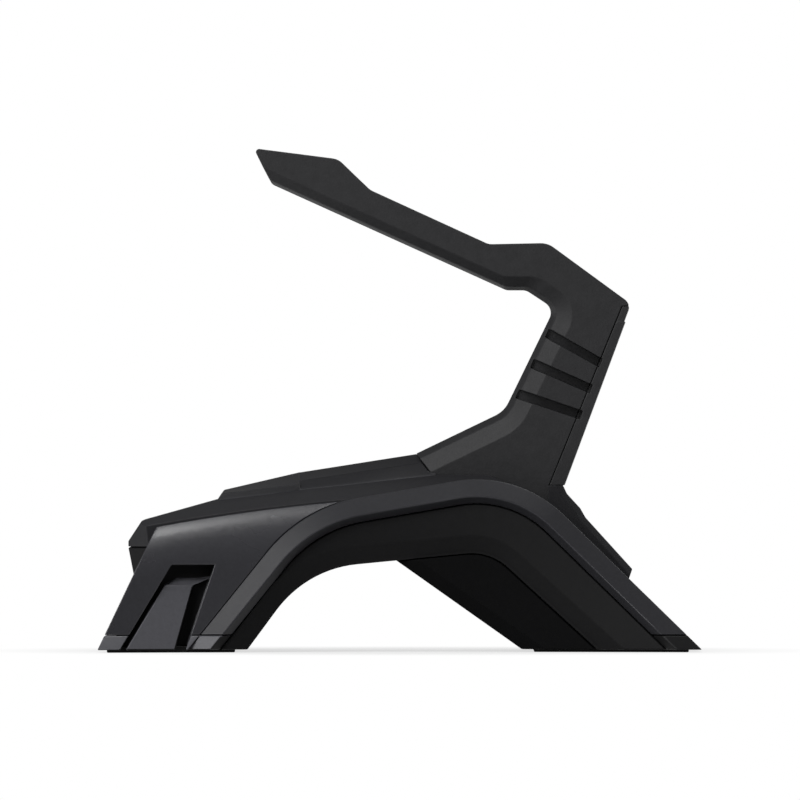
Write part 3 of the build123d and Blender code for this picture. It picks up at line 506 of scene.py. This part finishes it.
def add_screw(form, places):
    """Socket screw turned about its axis, in the place of a plain screw of the frame."""
    sizes = bpy.context.scene.bungee_sizes
    middle = sum(places, Vector()) / len(places)
    axis = Vector((middle.x, middle.y, 0.0))
    low = min(place.z for place in places)
    high = max(place.z for place in places)
    line = [form.verts.new(axis + Vector((radius, 0.0, z))) for radius, z in screw_profile(low, high)]
    edges = [form.edges.new(pair) for pair in zip(line, line[1:])]
    before = set(form.verts) - set(line)
    bmesh.ops.spin(form, geom=line + edges, cent=axis, axis=(0.0, 0.0, 1.0), steps=SPIN_STEPS,
                   angle=math.tau, use_merge=True)
    socket_reach = sizes.socket + sizes.metal_round
    for vertex in set(form.verts) - before:
        out = vertex.co - axis
        if vertex.co.z < low + sizes.head_height and out.xy.length < socket_reach:
            turn = math.atan2(out.y, out.x) % HEXAGON_SECTOR - HEXAGON_SECTOR / 2
            vertex.co = axis + Vector((out.x / math.cos(turn), out.y / math.cos(turn), out.z))


def socket_screws(node, name):
    """Detailed screws that stand for a node of plain ones."""
    plain = node_form(node)
    form = bmesh.new()
    for places in loose_parts(plain):
        add_screw(form, places)
    plain.free()
    bmesh.ops.remove_doubles(form, verts=form.verts, dist=MERGE_DISTANCE)
    bmesh.ops.recalc_face_normals(form, faces=form.faces)
    stand_for(finish_mesh(form, name, plated_steel()), node)


class BUNGEE_OT_side_panels(bpy.types.Operator):
    """Leg covers with rounded shoulders on both sides"""
    bl_idname = "bungee.side_panels"
    bl_label = "Side panels"

    def execute(self, context):
        for side in ("left", "right"):
            rounded_copy(f"{side}_side_panel", f"{side}_leg_cover", context.scene.bungee_sizes.shell_round,
                         moulded("Satin panel plastic"))
        return {"FINISHED"}


class BUNGEE_OT_arch_trims(bpy.types.Operator):
    """Flared trims that follow the arch on both sides"""
    bl_idname = "bungee.arch_trims"
    bl_label = "Arch trims"

    def execute(self, context):
        for side in ("left", "right"):
            rounded_copy(f"{side}_arch_trim", f"{side}_flared_trim", context.scene.bungee_sizes.shell_round,
                         moulded("Satin trim plastic"))
        return {"FINISHED"}


class BUNGEE_OT_deck(bpy.types.Operator):
    """Roof moulding with the nose and the rear slope"""
    bl_idname = "bungee.deck"
    bl_label = "Deck"

    def execute(self, context):
        rounded_copy("top_deck", "roof_shell", context.scene.bungee_sizes.shell_round,
                     moulded("Dull deck plastic"))
        return {"FINISHED"}


class BUNGEE_OT_covers(bpy.types.Operator):
    """Raised cover on the roof and the cover behind the arm"""
    bl_idname = "bungee.covers"
    bl_label = "Covers"

    def execute(self, context):
        for node, name in (("top_cover", "raised_cover"), ("rear_cover", "mast_foot_cover")):
            rounded_copy(node, name, context.scene.bungee_sizes.shell_round,
                         moulded("Dull deck plastic"), seat="top_deck")
        return {"FINISHED"}


class BUNGEE_OT_base(bpy.types.Operator):
    """Chassis with legs and arch walls, and the bottom cover with its ramp"""
    bl_idname = "bungee.base"
    bl_label = "Base"

    def execute(self, context):
        radius = context.scene.bungee_sizes.base_round
        # The upward-facing leg fronts of the chassis take a lighter copy of its plastic as painted light
        rounded_copy("chassis", "leg_frame", radius, moulded("Fine textured base plastic"),
                     leg_painted_light=moulded("Grey leg plastic"))
        rounded_copy("bottom_cover", "ramp_cover", radius, moulded("Dull ramp plastic"))
        return {"FINISHED"}


class BUNGEE_OT_arm(bpy.types.Operator):
    """Cranked arm with the cable clip, and the strip along its back"""
    bl_idname = "bungee.arm"
    bl_label = "Arm"

    def execute(self, context):
        sizes = context.scene.bungee_sizes
        plastic = moulded("Grained arm plastic")
        rounded_copy("arm", "cable_arm", sizes.arm_round, plastic)
        rounded_copy("arm_spine", "arm_back_strip", sizes.shell_round, plastic)
        return {"FINISHED"}


class BUNGEE_OT_pads(bpy.types.Operator):
    """Rubber pads under the four feet"""
    bl_idname = "bungee.pads"
    bl_label = "Pads"

    def execute(self, context):
        for end in ("front", "rear"):
            for side in ("left", "right"):
                rounded_copy(f"{end}_{side}_pad", f"{end}_{side}_foot_pad",
                             context.scene.bungee_sizes.pad_round, moulded("Pad rubber"))
        return {"FINISHED"}


class BUNGEE_OT_metal(bpy.types.Operator):
    """Screws and the steel weight inside the rear block"""
    bl_idname = "bungee.metal"
    bl_label = "Screws and weight"

    def execute(self, context):
        for group in ("arm", "ballast", "deck"):
            socket_screws(f"{group}_screws", f"{group}_socket_screws")
        rounded_copy("ballast_block", "steel_weight", context.scene.bungee_sizes.metal_round,
                     plated_steel())
        return {"FINISHED"}


def seen_directly(tree):
    """One for what the camera, gloss or glass sees, and zero for light that bounces."""
    path = tree.nodes.new("ShaderNodeLightPath")
    seen = add_math(tree, "MAXIMUM", path.outputs["Is Camera Ray"], path.outputs["Is Glossy Ray"])
    return add_math(tree, "MAXIMUM", seen, path.outputs["Is Transmission Ray"])


def stage_material(name, colour, near):
    """Matte pale surface that looks partly white near the object, and plain white further out."""
    material = bpy.data.materials.new(name)
    material.use_nodes = True
    tree = material.node_tree
    tree.nodes.clear()
    output = tree.nodes.new("ShaderNodeOutputMaterial")
    matte = tree.nodes.new("ShaderNodeBsdfDiffuse")
    matte.inputs["Color"].default_value = (*colour, 1.0)
    glow = tree.nodes.new("ShaderNodeEmission")
    distance = tree.nodes.new("ShaderNodeVectorMath")
    distance.operation = "LENGTH"
    feed(tree, distance.inputs[0], object_place(tree))
    fade = tree.nodes.new("ShaderNodeMapRange")
    fade.interpolation_type = "SMOOTHSTEP"
    feed(tree, fade.inputs["Value"], distance.outputs["Value"])
    fade.inputs["From Min"].default_value = FADE_START
    fade.inputs["From Max"].default_value = FADE_END
    fade.inputs["To Min"].default_value = near
    mix = tree.nodes.new("ShaderNodeMixShader")
    feed(tree, mix.inputs["Fac"], add_math(tree, "MULTIPLY", fade.outputs["Result"], seen_directly(tree)))
    feed(tree, mix.inputs[1], matte.outputs["BSDF"])
    feed(tree, mix.inputs[2], glow.outputs["Emission"])
    feed(tree, output.inputs["Surface"], mix.outputs["Shader"])
    return material


def stage_piece(form, name, material):
    """Piece of the stage from a bmesh."""
    mesh = bpy.data.meshes.new(name)
    form.to_mesh(mesh)
    form.free()
    mesh.materials.append(material)
    piece = bpy.data.objects.new(name, mesh)
    bpy.context.scene.collection.objects.link(piece)


def add_floor(colour):
    """Round pale floor."""
    form = bmesh.new()
    bmesh.ops.create_circle(form, cap_ends=True, segments=STAGE_SEGMENTS, radius=STAGE_RADIUS)
    stage_piece(form, "floor", stage_material("Pale floor", colour, FLOOR_WHITE))


def add_backdrop(colour):
    """Low white wall around the floor."""
    form = bmesh.new()
    low = bmesh.ops.create_circle(form, segments=STAGE_SEGMENTS, radius=STAGE_RADIUS)["verts"]
    rim = {edge for vertex in low for edge in vertex.link_edges}
    wall = bmesh.ops.extrude_edge_only(form, edges=list(rim))["geom"]
    high = [part for part in wall if isinstance(part, bmesh.types.BMVert)]
    bmesh.ops.translate(form, vec=(0.0, 0.0, BACKDROP_HEIGHT), verts=high)
    stage_piece(form, "backdrop", stage_material("Pale backdrop", colour, 1.0))


def add_sky(scene):
    """Plain soft grey sky."""
    world = bpy.data.worlds.new("Studio")
    world.use_nodes = True
    sky = world.node_tree.nodes["Background"]
    sky.inputs["Color"].default_value = (AMBIENT, AMBIENT, AMBIENT, 1.0)
    scene.world = world


def add_lamp(name, place, side, power):
    """Square soft lamp that faces the object."""
    data = bpy.data.lights.new(name, "AREA")
    data.shape = "SQUARE"
    data.size = side
    data.energy = power
    lamp = bpy.data.objects.new(name, data)
    lamp.location = place
    lamp.rotation_euler = (Vector(LAMP_TARGET) - Vector(place)).to_track_quat("-Z", "Y").to_euler()
    bpy.context.scene.collection.objects.link(lamp)


def add_camera(scene):
    """Camera at the photograph's viewing angle, straight from the left side."""
    data = bpy.data.cameras.new("camera")
    data.lens = CAMERA_LENS
    data.sensor_width = SENSOR
    data.clip_end = CAMERA_REACH
    camera = bpy.data.objects.new("camera", data)
    camera.location = (0.0, -FRAME_WIDTH * CAMERA_LENS / SENSOR, EYE_HEIGHT)
    camera.rotation_euler = (math.radians(90.0), 0.0, 0.0)
    scene.collection.objects.link(camera)
    scene.camera = camera


class BUNGEE_OT_stage(bpy.types.Operator):
    """Pale floor, white backdrop, soft studio lamps and the camera"""
    bl_idname = "bungee.stage"
    bl_label = "Stage"

    def execute(self, context):
        scene = context.scene
        colour = tuple(scene.bungee_colours.floor)
        add_floor(colour)
        add_backdrop(colour)
        add_sky(scene)
        for name, (place, side, power) in LAMPS.items():
            add_lamp(name, place, side, power)
        add_camera(scene)
        scene.view_settings.view_transform = "Standard"
        return {"FINISHED"}


OPERATORS = (
    BUNGEE_OT_side_panels,
    BUNGEE_OT_arch_trims,
    BUNGEE_OT_deck,
    BUNGEE_OT_covers,
    BUNGEE_OT_base,
    BUNGEE_OT_arm,
    BUNGEE_OT_pads,
    BUNGEE_OT_metal,
    BUNGEE_OT_stage,
)


class BUNGEE_PT_panel(bpy.types.Panel):
    """Sizes, colours and the steps that build the bungee"""
    bl_idname = "BUNGEE_PT_panel"
    bl_label = "Mouse bungee"
    bl_space_type = "VIEW_3D"
    bl_region_type = "UI"
    bl_category = "Bungee"

    def draw(self, context):
        layout = self.layout
        for group in (context.scene.bungee_sizes, context.scene.bungee_colours):
            column = layout.column(align=True)
            for name in group.__annotations__:
                column.prop(group, name)
        for operator in OPERATORS:
            layout.operator(operator.bl_idname)


CLASSES = (BungeeSizes, BungeeColours, *OPERATORS, BUNGEE_PT_panel)


def register():
    """Adds the classes and the two groups of settings."""
    for each in CLASSES:
        bpy.utils.register_class(each)
    bpy.types.Scene.bungee_sizes = PointerProperty(type=BungeeSizes)
    bpy.types.Scene.bungee_colours = PointerProperty(type=BungeeColours)


def unregister():
    """Takes the settings and the classes away again."""
    del bpy.types.Scene.bungee_colours
    del bpy.types.Scene.bungee_sizes
    for each in reversed(CLASSES):
        bpy.utils.unregister_class(each)


def main():
    """Builds every piece in order."""
    register()
    for step in ("side_panels", "arch_trims", "deck", "covers", "base", "arm", "pads", "metal", "stage"):
        getattr(bpy.ops.bungee, step)()


if __name__ == "__main__":
    main()
